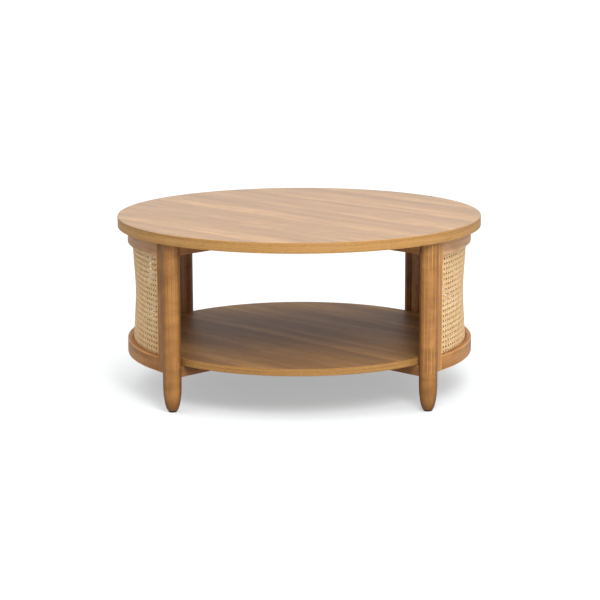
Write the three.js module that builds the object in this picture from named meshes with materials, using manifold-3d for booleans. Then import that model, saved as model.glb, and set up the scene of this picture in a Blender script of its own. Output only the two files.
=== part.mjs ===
// Round two-tier coffee table with two curved cane side panels.
//
// Millimetres, +Z up, origin on the floor under the middle of the table.
// Front is -Y, right is +X. Each side assembly holds two legs, the curved rails and stiles
// between them, and a cane panel. Two crossed battens under each board tie the sides together.

import * as THREE from 'three';
import { mergeVertices } from 'three/addons/utils/BufferGeometryUtils.js';
import Module from 'manifold-3d';

const wasm = await Module();
wasm.setup();

const radians = THREE.MathUtils.degToRad;

// ---------------------------------------------------------------- driving dimensions

const GAP = 0.3; // between two pieces that meet
const OVERSHOOT = 5; // how far a cutting tool passes the face it opens

const HEIGHT = 433;
const TOP_RADIUS = 450;
const TOP_THICKNESS = 25;
const SHELF_RADIUS = 397.5;
const SHELF_THICKNESS = 17;
const SHELF_SURFACE = 128;
const BAND_THICKNESS = 2;

const LEG_RADIUS = 22;
const LEG_CIRCLE = 420; // distance of each leg's axis from the middle of the table
const LEG_AZIMUTH = radians(43.7); // measured from the X axis
const LEG_CHAMFER = 1;
const FOOT_HEIGHT = 65; // the bullet foot starts to narrow here
const FOOT_ONSET = 1.7; // power that sets how gently the narrowing starts
const FOOT_FULLNESS = 0.28; // power that keeps the foot full towards its tip
const GLIDE_HEIGHT = 4.5;
const GLIDE_RADIUS = 11;
const GLIDE_FLAT_RADIUS = 8;
const GLIDE_SHOULDER = { inset: 0.7, height: 1.3 };
const GLIDE_STEM_RADIUS = 4;
const GLIDE_STEM_LENGTH = 14;

const FRAME_INNER_RADIUS = 399;
const STILE_OUTER_RADIUS = 430;
const STILE_START = radians(38.3);
const STILE_END = radians(41.65);
const BOTTOM_RAIL_OUTER_RADIUS = 430;
const BOTTOM_RAIL_HEIGHT = 35;
const TOP_RAIL_OUTER_RADIUS = 426;
const TOP_RAIL_HEIGHT = 38;

const CANE_RADIUS = 415; // outer surface where the frame holds it
const CANE_THICKNESS = 2;
const CANE_WAIST = 6.5; // how far the stretched cane pulls in at its middle
const CANE_WAIST_SOFTNESS = 0.2; // share of the half height over which the waist turns round
const CANE_WAIST_BREADTH = 2.5; // power that keeps the waist nearly even across the panel
const GROOVE_PLAY = 0.4; // room left in the groove, outside the cane and inside the spline
const GROOVE_DEPTH = 8;
const GROOVE_OUTER_RADIUS = CANE_RADIUS + GROOVE_PLAY;
const GROOVE_INNER_RADIUS = CANE_RADIUS - 5;
const SPLINE_THICKNESS = 2.4;
const SPLINE_PROUD = 1; // the reed stands this far out of its groove

const BATTEN_WIDTH = 28;
const UPPER_BATTEN_HEIGHT = 31;
const LOWER_BATTEN_HEIGHT = 27;
const HOUSING_DEPTH = 5; // flat in the leg that the batten's end butts on
const TENON_LENGTH = 12;
const TENON_WIDTH = 10;
const TENON_HEIGHT = 16;

const RAIL_DOWEL = { radius: 4, length: 30, intoStile: 11 };
const LEG_DOWEL = { radius: 3, length: 24, intoStile: 12 };
const RAIL_DOWEL_CIRCLE = 412;
const LEG_DOWEL_HEIGHTS = { lower: 170, upper: 330 };

const SCREW_RADIUS = 2.2;
const SCREW_HEAD_RADIUS = 4.4;
const SCREW_HEAD_RIM = 0.5;
const SCREW_HEAD_DEPTH = 3;
const SCREW_TIP_RADIUS = 0.4;
const SCREW_TIP_LENGTH = 4;
const SCREW_CIRCLE = 250;
const TOP_SCREW_LENGTH = 45;
const SHELF_SCREW_LENGTH = 36;

// Facet counts, chosen so that no chord strays more than about 0.4 mm from its circle.
const BOARD_SEGMENTS = 80;
const LEG_SEGMENTS = 24;
const PIN_SEGMENTS = 10;
const GLIDE_SEGMENTS = 16;
const ARC_STEP = radians(3.2);
const CANE_COLUMNS = 24;
const CANE_ROWS = 6;
const FOOT_STEPS = 6;
const FOOT_STEP_GROWTH = 2; // steps are short at the tip and longer above it

// ---------------------------------------------------------------- derived heights

const TOP_UNDERSIDE = HEIGHT - TOP_THICKNESS;
const SHELF_UNDERSIDE = SHELF_SURFACE - SHELF_THICKNESS;
const FRAME_TOP = TOP_UNDERSIDE - GAP;
const BOTTOM_RAIL_TOP = SHELF_SURFACE;
const BOTTOM_RAIL_UNDERSIDE = BOTTOM_RAIL_TOP - BOTTOM_RAIL_HEIGHT;
const TOP_RAIL_UNDERSIDE = TOP_UNDERSIDE - TOP_RAIL_HEIGHT;
const UPPER_BATTEN = { low: TOP_UNDERSIDE - UPPER_BATTEN_HEIGHT, high: TOP_UNDERSIDE };
const LOWER_BATTEN = { low: SHELF_UNDERSIDE - LOWER_BATTEN_HEIGHT, high: SHELF_UNDERSIDE };
const BATTEN_END = LEG_CIRCLE - LEG_RADIUS + HOUSING_DEPTH;

// ---------------------------------------------------------------- materials

function finish(color, roughness, metalness = 0) {
  return new THREE.MeshStandardMaterial({ color, roughness, metalness });
}

const materials = {
  topVeneer: () => finish(0xd2b093, 0.45),
  shelfVeneer: () => finish(0xa98460, 0.5),
  edgeBand: () => finish(0xc8985f, 0.5),
  frameWood: () => finish(0xa5713f, 0.42),
  battenWood: () => finish(0x7a5533, 0.6),
  dowelWood: () => finish(0xcfa878, 0.7),
  cane: () => finish(0xd6b488, 0.65),
  reed: () => finish(0xd2ab78, 0.6),
  glide: () => finish(0x413426, 0.6),
  screw: () => finish(0xb9b6ae, 0.35, 0.9),
};

// ---------------------------------------------------------------- solids and cuts

function toSolid(geometry) {
  const bare = geometry.index ? geometry.toNonIndexed() : geometry.clone();
  bare.deleteAttribute('normal');
  bare.deleteAttribute('uv');
  const merged = mergeVertices(bare, 1e-3);
  return new wasm.Manifold(new wasm.Mesh({
    numProp: 3,
    vertProperties: merged.attributes.position.array,
    triVerts: new Uint32Array(merged.index.array),
  }));
}

function toGeometry(solid) {
  const mesh = solid.getMesh();
  const indexed = new THREE.BufferGeometry();
  indexed.setAttribute('position', new THREE.BufferAttribute(mesh.vertProperties, 3));
  indexed.setIndex(new THREE.BufferAttribute(mesh.triVerts, 1));
  const geometry = indexed.toNonIndexed();
  geometry.computeVertexNormals();
  return geometry;
}

function cut(geometry, tools) {
  let solid = toSolid(geometry);
  for (const tool of tools) {
    solid = solid.subtract(toSolid(tool));
  }
  return toGeometry(solid);
}

function join(geometries) {
  let solid = toSolid(geometries[0]);
  for (const geometry of geometries.slice(1)) {
    solid = solid.add(toSolid(geometry));
  }
  return toGeometry(solid);
}

// A solid of revolution about Z from [radius, height] points.
function revolve(points, segments) {
  const profile = points.map(([radius, height]) => new THREE.Vector2(radius, height));
  return new THREE.LatheGeometry(profile, segments).rotateX(Math.PI / 2);
}

function cylinder(radius, low, high, segments) {
  return revolve([[0, low], [radius, low], [radius, high], [0, high]], segments);
}

function ring(innerRadius, outerRadius, low, high, segments) {
  const corners = [
    [innerRadius, low],
    [outerRadius, low],
    [outerRadius, high],
    [innerRadius, high],
    [innerRadius, low],
  ];
  return revolve(corners, segments);
}

// A box given by its extent along each axis.
function block([x0, x1], [y0, y1], [z0, z1]) {
  const geometry = new THREE.BoxGeometry(x1 - x0, y1 - y0, z1 - z0);
  return geometry.translate((x0 + x1) / 2, (y0 + y1) / 2, (z0 + z1) / 2);
}

// Part of a ring about the table's axis, from one azimuth to another.
function sector(innerRadius, outerRadius, start, end, low, high) {
  const outline = new THREE.Shape();
  outline.absarc(0, 0, outerRadius, start, end, false);
  outline.absarc(0, 0, innerRadius, end, start, true);
  // Each arc is divided into twice this number of chords.
  const curveSegments = Math.max(1, Math.ceil((end - start) / ARC_STEP / 2));
  const options = { depth: high - low, bevelEnabled: false, curveSegments };
  return new THREE.ExtrudeGeometry(outline, options).translate(0, 0, low);
}

// A round pin along Z with chamfered ends, starting at z = 0.
function pin(radius, length) {
  const chamfer = radius / 4;
  const points = [
    [0, 0],
    [radius - chamfer, 0],
    [radius, chamfer],
    [radius, length - chamfer],
    [radius - chamfer, length],
    [0, length],
  ];
  return revolve(points, PIN_SEGMENTS);
}

// The hole for such a pin, a gap wider and a gap longer at both ends.
function pinHole(radius, length) {
  return cylinder(radius + GAP, -GAP, length + GAP, PIN_SEGMENTS);
}

// A countersunk wood screw pointing up, with its head's face at z = 0. grow widens it into its own hole.
function screw(length, grow = 0) {
  const shank = SCREW_RADIUS + grow;
  const head = SCREW_HEAD_RADIUS + grow;
  const bottom = grow > 0 ? -OVERSHOOT : 0;
  const points = [
    [0, bottom],
    [head, bottom],
    [head, SCREW_HEAD_RIM + grow],
    [shank, SCREW_HEAD_DEPTH + grow],
    [shank, length - SCREW_TIP_LENGTH + grow],
    [SCREW_TIP_RADIUS, length + grow],
    [0, length + grow],
  ];
  return revolve(points, PIN_SEGMENTS);
}

// ---------------------------------------------------------------- placing

function named(name, geometry, material, matrix = new THREE.Matrix4()) {
  const mesh = new THREE.Mesh(geometry, material);
  mesh.name = name;
  mesh.applyMatrix4(matrix);
  return mesh;
}

// Lays a piece built along +Z along +Y or -Y instead.
function alongY(direction) {
  return new THREE.Matrix4().makeRotationX(-direction * Math.PI / 2);
}

// Moves a piece out to a radius and round to an azimuth of the table.
function atAzimuth(azimuth, radius, height) {
  const turn = new THREE.Matrix4().makeRotationZ(azimuth);
  return turn.multiply(new THREE.Matrix4().makeTranslation(radius, 0, height));
}

// ---------------------------------------------------------------- boards

function boardScrewHoles(screwLength, headHeight) {
  const holes = [screw(screwLength, GAP).translate(0, 0, headHeight)];
  for (const azimuth of cornerAzimuths()) {
    const hole = screw(screwLength, GAP);
    holes.push(hole.applyMatrix4(atAzimuth(azimuth, SCREW_CIRCLE, headHeight)));
  }
  return holes;
}

function cornerAzimuths() {
  return [LEG_AZIMUTH, Math.PI - LEG_AZIMUTH, Math.PI + LEG_AZIMUTH, -LEG_AZIMUTH];
}

// A round board with its edge band as a separate ring round it.
function board({ name, radius, low, high, holes, material }) {
  const bandInner = radius - BAND_THICKNESS;
  const core = cylinder(bandInner - GAP, low, high, BOARD_SEGMENTS);
  const band = ring(bandInner, radius, low, high, BOARD_SEGMENTS);
  return [
    named(name, cut(core, holes), material),
    named(`${name}_edge_band`, band, materials.edgeBand()),
  ];
}

// ---------------------------------------------------------------- crossed battens

// One batten along X, with a stub tenon at each end and half its height notched out in the middle.
// notchSide is +1 when the notch opens upwards and -1 when it opens downwards.
function batten({ low, high }, notchSide, crossing, screwLength) {
  const top = high - GAP;
  const middle = (low + top) / 2;
  const halfWidth = BATTEN_WIDTH / 2;
  const tenonEnd = BATTEN_END + TENON_LENGTH - GAP;
  const bar = block([-BATTEN_END + GAP, BATTEN_END - GAP], [-halfWidth, halfWidth], [low, top]);
  const tenon = block(
    [-tenonEnd, tenonEnd],
    [-TENON_WIDTH / 2, TENON_WIDTH / 2],
    [middle - TENON_HEIGHT / 2, middle + TENON_HEIGHT / 2],
  );
  const notchEdge = middle - notchSide * GAP / 2;
  const notchOpen = middle + notchSide * (high - low);
  const notch = block(
    [-BATTEN_WIDTH, BATTEN_WIDTH],
    [-halfWidth - GAP, halfWidth + GAP],
    [Math.min(notchEdge, notchOpen), Math.max(notchEdge, notchOpen)],
  ).rotateZ(crossing);
  const holes = [-SCREW_CIRCLE, 0, SCREW_CIRCLE].map(
    (x) => screw(screwLength, GAP).translate(x, 0, low),
  );
  return cut(join([bar, tenon]), [notch, ...holes]);
}

function battenCross(level, heights, screwLength) {
  // One batten runs from the front left leg to the rear right one, the other from front right to rear left.
  const runs = [
    { corner: 'front_left', azimuth: LEG_AZIMUTH, notchSide: 1 },
    { corner: 'front_right', azimuth: -LEG_AZIMUTH, notchSide: -1 },
  ];
  return runs.map(({ corner, azimuth, notchSide }) => named(
    `${level}_batten_${corner}`,
    batten(heights, notchSide, -2 * azimuth, screwLength),
    materials.battenWood(),
    new THREE.Matrix4().makeRotationZ(azimuth),
  ));
}

function screws(kind, headHeight, length) {
  const places = {
    rear_right: LEG_AZIMUTH,
    rear_left: Math.PI - LEG_AZIMUTH,
    front_left: Math.PI + LEG_AZIMUTH,
    front_right: -LEG_AZIMUTH,
  };
  const pieces = [
    named(`${kind}_screw_centre`, screw(length), materials.screw(), atAzimuth(0, 0, headHeight)),
  ];
  for (const [corner, azimuth] of Object.entries(places)) {
    const place = atAzimuth(azimuth, SCREW_CIRCLE, headHeight);
    pieces.push(named(`${kind}_screw_${corner}`, screw(length), materials.screw(), place));
  }
  return pieces;
}

// ---------------------------------------------------------------- legs

// The leg is a plain cylinder down to the foot, then rounds in like a bullet.
function footRadius(height) {
  const drop = (FOOT_HEIGHT - height) / FOOT_HEIGHT;
  return LEG_RADIUS * (1 - drop ** FOOT_ONSET) ** FOOT_FULLNESS;
}

function legBlank() {
  const points = [[0, GLIDE_HEIGHT]];
  for (let step = 0; step < FOOT_STEPS; step += 1) {
    const height = GLIDE_HEIGHT + (FOOT_HEIGHT - GLIDE_HEIGHT) * (step / FOOT_STEPS) ** FOOT_STEP_GROWTH;
    points.push([footRadius(height), height]);
  }
  points.push([LEG_RADIUS, FOOT_HEIGHT]);
  points.push([LEG_RADIUS, FRAME_TOP - LEG_CHAMFER]);
  points.push([LEG_RADIUS - LEG_CHAMFER, FRAME_TOP]);
  points.push([0, FRAME_TOP]);
  return revolve(points, LEG_SEGMENTS);
}

// The flat that a batten's end butts on, and the mortise behind it, in the side facing the table's axis.
function battenSocket({ low, high }) {
  const flat = LEG_RADIUS - HOUSING_DEPTH;
  const middle = (low + high - GAP) / 2;
  const halfWidth = BATTEN_WIDTH / 2 + GAP;
  const tenonHalfWidth = TENON_WIDTH / 2 + GAP;
  const tenonHalfHeight = TENON_HEIGHT / 2 + GAP;
  return join([
    block([-LEG_RADIUS - OVERSHOOT, -flat], [-halfWidth, halfWidth], [low - GAP, high + GAP]),
    block(
      [-LEG_RADIUS - OVERSHOOT, TENON_LENGTH - flat],
      [-tenonHalfWidth, tenonHalfWidth],
      [middle - tenonHalfHeight, middle + tenonHalfHeight],
    ),
  ]);
}

// A leg about its own axis, with +X pointing away from the table. stileSide is the sign of Y
// on the side where the stile is glued on.
function leg(stileSide) {
  const stemHole = cylinder(
    GLIDE_STEM_RADIUS + GAP,
    -OVERSHOOT,
    GLIDE_HEIGHT + GLIDE_STEM_LENGTH + GAP,
    PIN_SEGMENTS,
  );
  const tools = [
    battenSocket(LOWER_BATTEN),
    battenSocket(UPPER_BATTEN),
    stemHole,
  ];
  for (const height of Object.values(LEG_DOWEL_HEIGHTS)) {
    tools.push(legDowelHole().applyMatrix4(legDowelPlace(stileSide, height)));
  }
  return cut(legBlank(), tools);
}

function legDowelHole() {
  return pinHole(LEG_DOWEL.radius, LEG_DOWEL.length);
}

// In the leg's own frame: across the joint between leg and stile.
function legDowelPlace(stileSide, height) {
  const inLeg = LEG_DOWEL.length - LEG_DOWEL.intoStile;
  const start = stileSide * (LEG_RADIUS - inLeg);
  return new THREE.Matrix4().makeTranslation(0, start, height).multiply(alongY(stileSide));
}

// A push-in glide: a domed pad and a stem that fills a hole in the foot.
function glide() {
  const padTop = GLIDE_HEIGHT - GAP;
  const stemTop = GLIDE_HEIGHT + GLIDE_STEM_LENGTH;
  const points = [
    [0, 0],
    [GLIDE_FLAT_RADIUS, 0],
    [GLIDE_RADIUS - GLIDE_SHOULDER.inset, GLIDE_SHOULDER.height],
    [GLIDE_RADIUS, padTop],
    [GLIDE_STEM_RADIUS, padTop],
    [GLIDE_STEM_RADIUS, stemTop - 1],
    [GLIDE_STEM_RADIUS - 1, stemTop],
    [0, stemTop],
  ];
  return revolve(points, GLIDE_SEGMENTS);
}

// ---------------------------------------------------------------- curved side frame

// Angle that a length makes on the circle the cane stands on.
function caneAngle(length) {
  return length / CANE_RADIUS;
}

const RAIL_END = STILE_START - GAP / STILE_OUTER_RADIUS;

function railDowelPlace(end, height) {
  const start = -end * (RAIL_DOWEL.length - RAIL_DOWEL.intoStile);
  const place = atAzimuth(end * STILE_START, RAIL_DOWEL_CIRCLE, height);
  return place.multiply(new THREE.Matrix4().makeTranslation(0, start, 0)).multiply(alongY(end));
}

function railDowelHoles(height, ends) {
  return ends.map(
    (end) => pinHole(RAIL_DOWEL.radius, RAIL_DOWEL.length).applyMatrix4(railDowelPlace(end, height)),
  );
}

// A curved rail with the cane's groove in the face between grooveLow and grooveHigh.
function rail(outerRadius, low, high, grooveLow, grooveHigh) {
  const blank = sector(FRAME_INNER_RADIUS, outerRadius, -RAIL_END, RAIL_END, low, high);
  const groove = sector(
    GROOVE_INNER_RADIUS,
    GROOVE_OUTER_RADIUS,
    -STILE_END,
    STILE_END,
    grooveLow,
    grooveHigh,
  );
  return cut(blank, [groove, ...railDowelHoles((low + high) / 2, [-1, 1])]);
}

const RAIL_DOWEL_HEIGHTS = {
  lower: (BOTTOM_RAIL_UNDERSIDE + BOTTOM_RAIL_TOP) / 2,
  upper: (TOP_RAIL_UNDERSIDE + FRAME_TOP) / 2,
};

// The upright that is glued to the leg. end is the sign of its azimuth.
function stile(end) {
  const span = (from, to) => (end > 0 ? [from, to] : [-to, -from]);
  const blank = sector(
    FRAME_INNER_RADIUS,
    STILE_OUTER_RADIUS,
    ...span(STILE_START, STILE_END),
    BOTTOM_RAIL_UNDERSIDE,
    FRAME_TOP,
  );
  const groove = sector(
    GROOVE_INNER_RADIUS,
    GROOVE_OUTER_RADIUS,
    ...span(0, STILE_START + caneAngle(GROOVE_DEPTH)),
    BOTTOM_RAIL_TOP - GROOVE_DEPTH,
    TOP_RAIL_UNDERSIDE + GROOVE_DEPTH,
  );
  const legPlace = atAzimuth(end * LEG_AZIMUTH, LEG_CIRCLE, 0);
  const cope = cylinder(LEG_RADIUS + GAP, 0, HEIGHT, LEG_SEGMENTS).applyMatrix4(legPlace);
  const tools = [groove, cope];
  for (const height of Object.values(RAIL_DOWEL_HEIGHTS)) {
    tools.push(...railDowelHoles(height, [end]));
  }
  for (const height of Object.values(LEG_DOWEL_HEIGHTS)) {
    const place = legPlace.clone().multiply(legDowelPlace(-end, height));
    tools.push(legDowelHole().applyMatrix4(place));
  }
  return cut(blank, tools);
}

// ---------------------------------------------------------------- cane panel

const CANE_TUCK = GROOVE_DEPTH - 1; // how deep the cane's edge goes into the groove
const CANE_HALF_ANGLE = STILE_START + caneAngle(CANE_TUCK);

// Radius of the cane's outer surface. It is held straight at the frame and draws in towards the middle.
function caneRadius(azimuth, height) {
  const middle = (BOTTOM_RAIL_TOP + TOP_RAIL_UNDERSIDE) / 2;
  const across = Math.min(1, Math.abs(azimuth) / STILE_START);
  const up = Math.min(1, Math.abs(height - middle) / (TOP_RAIL_UNDERSIDE - middle));
  const softness = CANE_WAIST_SOFTNESS;
  const hollow = (Math.hypot(up, softness) - softness) / (Math.hypot(1, softness) - softness);
  return CANE_RADIUS - CANE_WAIST * (1 - hollow) * (1 - across ** CANE_WAIST_BREADTH);
}

function evenSteps(from, to, count) {
  return Array.from({ length: count + 1 }, (_, step) => from + (to - from) * step / count);
}

// A grid of points becomes a closed sheet: outer and inner faces, and a strip round the edge.
function caneSheet() {
  const azimuths = [
    -CANE_HALF_ANGLE,
    ...evenSteps(-STILE_START, STILE_START, CANE_COLUMNS),
    CANE_HALF_ANGLE,
  ];
  const heights = [
    BOTTOM_RAIL_TOP - CANE_TUCK,
    ...evenSteps(BOTTOM_RAIL_TOP, TOP_RAIL_UNDERSIDE, CANE_ROWS),
    TOP_RAIL_UNDERSIDE + CANE_TUCK,
  ];

  const positions = [];
  for (const inset of [0, CANE_THICKNESS]) {
    for (const height of heights) {
      for (const azimuth of azimuths) {
        const radius = caneRadius(azimuth, height) - inset;
        positions.push(radius * Math.cos(azimuth), radius * Math.sin(azimuth), height);
      }
    }
  }

  const index = [];
  const columns = azimuths.length;
  const layer = heights.length * columns;
  const quad = (a, b, c, d) => index.push(a, b, c, a, c, d);
  for (let row = 0; row + 1 < heights.length; row += 1) {
    for (let column = 0; column + 1 < columns; column += 1) {
      const a = row * columns + column;
      const b = a + 1;
      quad(a, b, b + columns, a + columns);
      quad(layer + b, layer + a, layer + a + columns, layer + b + columns);
    }
    const left = row * columns;
    const right = left + columns - 1;
    quad(left + columns, layer + left + columns, layer + left, left);
    quad(right, layer + right, layer + right + columns, right + columns);
  }
  const topRow = (heights.length - 1) * columns;
  for (let column = 0; column + 1 < columns; column += 1) {
    const above = topRow + column;
    quad(column + 1, column, layer + column, layer + column + 1);
    quad(above, above + 1, layer + above + 1, layer + above);
  }

  const geometry = new THREE.BufferGeometry();
  geometry.setAttribute('position', new THREE.Float32BufferAttribute(positions, 3));
  geometry.setIndex(index);
  geometry.computeVertexNormals();
  return geometry;
}

// Reeds that wedge the cane's edge in its groove, on the inner side of the cane.
function splines(side, endNames) {
  const inner = GROOVE_INNER_RADIUS + GROOVE_PLAY;
  const outer = inner + SPLINE_THICKNESS;
  const proudAngle = caneAngle(SPLINE_PROUD);
  const reach = STILE_START - proudAngle - caneAngle(GAP);
  const bottomLow = BOTTOM_RAIL_TOP - CANE_TUCK;
  const bottomHigh = BOTTOM_RAIL_TOP + SPLINE_PROUD;
  const topLow = TOP_RAIL_UNDERSIDE - SPLINE_PROUD;
  const topHigh = TOP_RAIL_UNDERSIDE + CANE_TUCK;
  const bottom = sector(inner, outer, -reach, reach, bottomLow, bottomHigh);
  const top = sector(inner, outer, -reach, reach, topLow, topHigh);
  const pieces = [
    named(`${side}_bottom_spline`, bottom, materials.reed()),
    named(`${side}_top_spline`, top, materials.reed()),
  ];
  for (const [end, endName] of endNames) {
    const near = end * (STILE_START - proudAngle);
    const far = end * CANE_HALF_ANGLE;
    const upright = sector(
      inner,
      outer,
      Math.min(near, far),
      Math.max(near, far),
      BOTTOM_RAIL_TOP - CANE_TUCK,
      TOP_RAIL_UNDERSIDE + CANE_TUCK,
    );
    pieces.push(named(`${side}_${endName}_spline`, upright, materials.reed()));
  }
  return pieces;
}

// ---------------------------------------------------------------- side assembly

// Everything that belongs to one corner of a side: leg, glide, stile and the dowels that join them.
function corner(side, endName, end) {
  const prefix = `${endName}_${side}`;
  const legPlace = atAzimuth(end * LEG_AZIMUTH, LEG_CIRCLE, 0);
  const pieces = [
    named(`${prefix}_leg`, leg(-end), materials.frameWood(), legPlace),
    named(`${prefix}_foot_glide`, glide(), materials.glide(), legPlace),
    named(`${prefix}_stile`, stile(end), materials.frameWood()),
  ];
  for (const [level, height] of Object.entries(LEG_DOWEL_HEIGHTS)) {
    const dowel = pin(LEG_DOWEL.radius, LEG_DOWEL.length);
    const place = legPlace.clone().multiply(legDowelPlace(-end, height));
    pieces.push(named(`${prefix}_${level}_leg_dowel`, dowel, materials.dowelWood(), place));
  }
  for (const [level, height] of Object.entries(RAIL_DOWEL_HEIGHTS)) {
    const dowel = pin(RAIL_DOWEL.radius, RAIL_DOWEL.length);
    const place = railDowelPlace(end, height);
    pieces.push(named(`${prefix}_${level}_rail_dowel`, dowel, materials.dowelWood(), place));
  }
  return pieces;
}

// A side is built on +X and turned half a turn for the left, which swaps its front and rear ends.
function sideAssembly(side, turn, endNames) {
  const group = new THREE.Group();
  group.rotation.z = turn;
  const bottomRail = rail(
    BOTTOM_RAIL_OUTER_RADIUS,
    BOTTOM_RAIL_UNDERSIDE,
    BOTTOM_RAIL_TOP,
    BOTTOM_RAIL_TOP - GROOVE_DEPTH,
    BOTTOM_RAIL_TOP + OVERSHOOT,
  );
  const topRail = rail(
    TOP_RAIL_OUTER_RADIUS,
    TOP_RAIL_UNDERSIDE,
    FRAME_TOP,
    TOP_RAIL_UNDERSIDE - OVERSHOOT,
    TOP_RAIL_UNDERSIDE + GROOVE_DEPTH,
  );
  group.add(
    named(`${side}_bottom_rail`, bottomRail, materials.frameWood()),
    named(`${side}_top_rail`, topRail, materials.frameWood()),
    named(`${side}_cane_panel`, caneSheet(), materials.cane()),
    ...splines(side, endNames),
  );
  for (const [end, endName] of endNames) {
    group.add(...corner(side, endName, end));
  }
  return group;
}

// ---------------------------------------------------------------- the table

const table = new THREE.Group();
table.add(
  ...board({
    name: 'table_top',
    radius: TOP_RADIUS,
    low: TOP_UNDERSIDE,
    high: HEIGHT,
    holes: boardScrewHoles(TOP_SCREW_LENGTH, UPPER_BATTEN.low),
    material: materials.topVeneer(),
  }),
  ...board({
    name: 'shelf',
    radius: SHELF_RADIUS,
    low: SHELF_UNDERSIDE,
    high: SHELF_SURFACE,
    holes: boardScrewHoles(SHELF_SCREW_LENGTH, LOWER_BATTEN.low),
    material: materials.shelfVeneer(),
  }),
  ...battenCross('upper', UPPER_BATTEN, TOP_SCREW_LENGTH),
  ...battenCross('lower', LOWER_BATTEN, SHELF_SCREW_LENGTH),
  ...screws('top', UPPER_BATTEN.low, TOP_SCREW_LENGTH),
  ...screws('shelf', LOWER_BATTEN.low, SHELF_SCREW_LENGTH),
  sideAssembly('right', 0, [[1, 'rear'], [-1, 'front']]),
  sideAssembly('left', Math.PI, [[1, 'front'], [-1, 'rear']]),
);

export default table;
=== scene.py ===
# Looks of a round coffee table with two curved side panels of woven cane, built round its CAD frame.
#
# Metres, +Z up, origin on the floor under the middle of the table. Front is -Y, right is +X.
# Boards, rails, stiles, legs and glides get fine meshes of the same size as their CAD nodes, and each
# cane panel becomes a real weave of strands. Battens, splines, dowels and screws keep their CAD nodes.

import math
import random

import bmesh
import bpy
import numpy as np
from mathutils import Matrix, Vector


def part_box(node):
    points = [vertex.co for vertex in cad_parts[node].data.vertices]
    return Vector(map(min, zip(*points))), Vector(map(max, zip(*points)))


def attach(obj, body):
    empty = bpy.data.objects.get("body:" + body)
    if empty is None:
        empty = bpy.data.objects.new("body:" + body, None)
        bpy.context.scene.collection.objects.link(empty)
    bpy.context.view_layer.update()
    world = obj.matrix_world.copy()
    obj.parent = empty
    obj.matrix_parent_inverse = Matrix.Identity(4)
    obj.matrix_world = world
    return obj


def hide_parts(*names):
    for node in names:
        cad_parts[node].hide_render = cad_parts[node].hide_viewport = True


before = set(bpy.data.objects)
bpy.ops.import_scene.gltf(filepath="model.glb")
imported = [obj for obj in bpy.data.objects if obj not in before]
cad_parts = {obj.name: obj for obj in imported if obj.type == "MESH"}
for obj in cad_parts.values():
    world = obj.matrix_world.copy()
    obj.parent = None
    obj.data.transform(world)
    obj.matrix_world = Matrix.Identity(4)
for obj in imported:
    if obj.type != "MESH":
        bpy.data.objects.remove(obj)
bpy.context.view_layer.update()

# ---------------------------------------------------------------- sizes

MM = 0.001

LEG_RADIUS = 22 * MM
LEG_CIRCLE = 420 * MM  # distance of each leg's axis from the middle of the table
LEG_AZIMUTH = math.radians(43.7)
LEG_CHAMFER = 1 * MM
FOOT_HEIGHT = 65 * MM  # the bullet foot starts to narrow here
FOOT_ONSET = 1.7  # power that sets how gently the narrowing starts
FOOT_FULLNESS = 0.28  # power that keeps the foot full towards its tip
GLIDE_RADIUS = 11 * MM
GLIDE_FLAT_RADIUS = 8 * MM
GLIDE_STEM_RADIUS = 4 * MM

FRAME_INNER_RADIUS = 399 * MM
STILE_START = math.radians(38.3)
STILE_END = math.radians(41.65)
GROOVE_DEPTH = 8 * MM
GROOVE_INNER_RADIUS = 410 * MM
GROOVE_OUTER_RADIUS = 415.4 * MM
JOINT_GAP = 0.1 * MM  # the hairline that shows between two glued pieces
ARRIS = 1.2 * MM  # radius that the frame's edges are eased to
BOARD_ARRIS = 0.8 * MM
BAND_THICKNESS = 2 * MM

CANE_RADIUS = 415 * MM  # outer surface where the frame holds the cane
CANE_MIDDLE_DEPTH = 1.2 * MM  # the middle of the weave lies this far inside that surface
CANE_WAIST = 6.5 * MM  # how far the stretched cane pulls in at its middle
CANE_SOFTNESS = 0.2  # share of the half height over which the waist turns round
CANE_TUCK = 7 * MM
WEAVE_PITCH = 12.7 * MM
PAIR_SPREAD = 1.95 * MM  # each strand of a pair stands this far from the pair's middle
STRAND_WIDTH = 3.5 * MM
DIAGONAL_WIDTH = 3.4 * MM
STRAND_THICKNESS = 0.8 * MM
WEAVE_SHIFT = 0.26 * WEAVE_PITCH  # how far the middle pair stands from the middle of the panel

BOARD_STEPS = 256
LEG_STEPS = 96
FOOT_STEPS = 28
GLIDE_STEPS = 48
RAIL_STEPS = 96
ARRIS_STEPS = 4


def low_of(node):
    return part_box(node)[0]


def high_of(node):
    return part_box(node)[1]


TOP_RADIUS = high_of("table_top_edge_band").x
TOP_SURFACE = high_of("table_top").z
TOP_UNDERSIDE = low_of("table_top").z
SHELF_RADIUS = high_of("shelf_edge_band").x
SHELF_SURFACE = high_of("shelf").z
SHELF_UNDERSIDE = low_of("shelf").z
FRAME_TOP = high_of("right_top_rail").z
TOP_RAIL_UNDERSIDE = low_of("right_top_rail").z
TOP_RAIL_RADIUS = high_of("right_top_rail").x
BOTTOM_RAIL_TOP = high_of("right_bottom_rail").z
BOTTOM_RAIL_UNDERSIDE = low_of("right_bottom_rail").z
BOTTOM_RAIL_RADIUS = high_of("right_bottom_rail").x
STILE_RADIUS = BOTTOM_RAIL_RADIUS
LEG_LOW = low_of("front_left_leg").z
GLIDE_TOP = LEG_LOW - 0.3 * MM
GLIDE_STEM_TOP = high_of("front_left_foot_glide").z
CANE_MIDDLE = (BOTTOM_RAIL_TOP + TOP_RAIL_UNDERSIDE) / 2

SIDES = {"right": 0.0, "left": math.pi}
# The side is drawn on +X, and turned half a turn for the left, which swaps its ends.
END_NAMES = {
    "right": {-1: "front", 1: "rear"},
    "left": {-1: "rear", 1: "front"},
}

# ---------------------------------------------------------------- shader building


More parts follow.
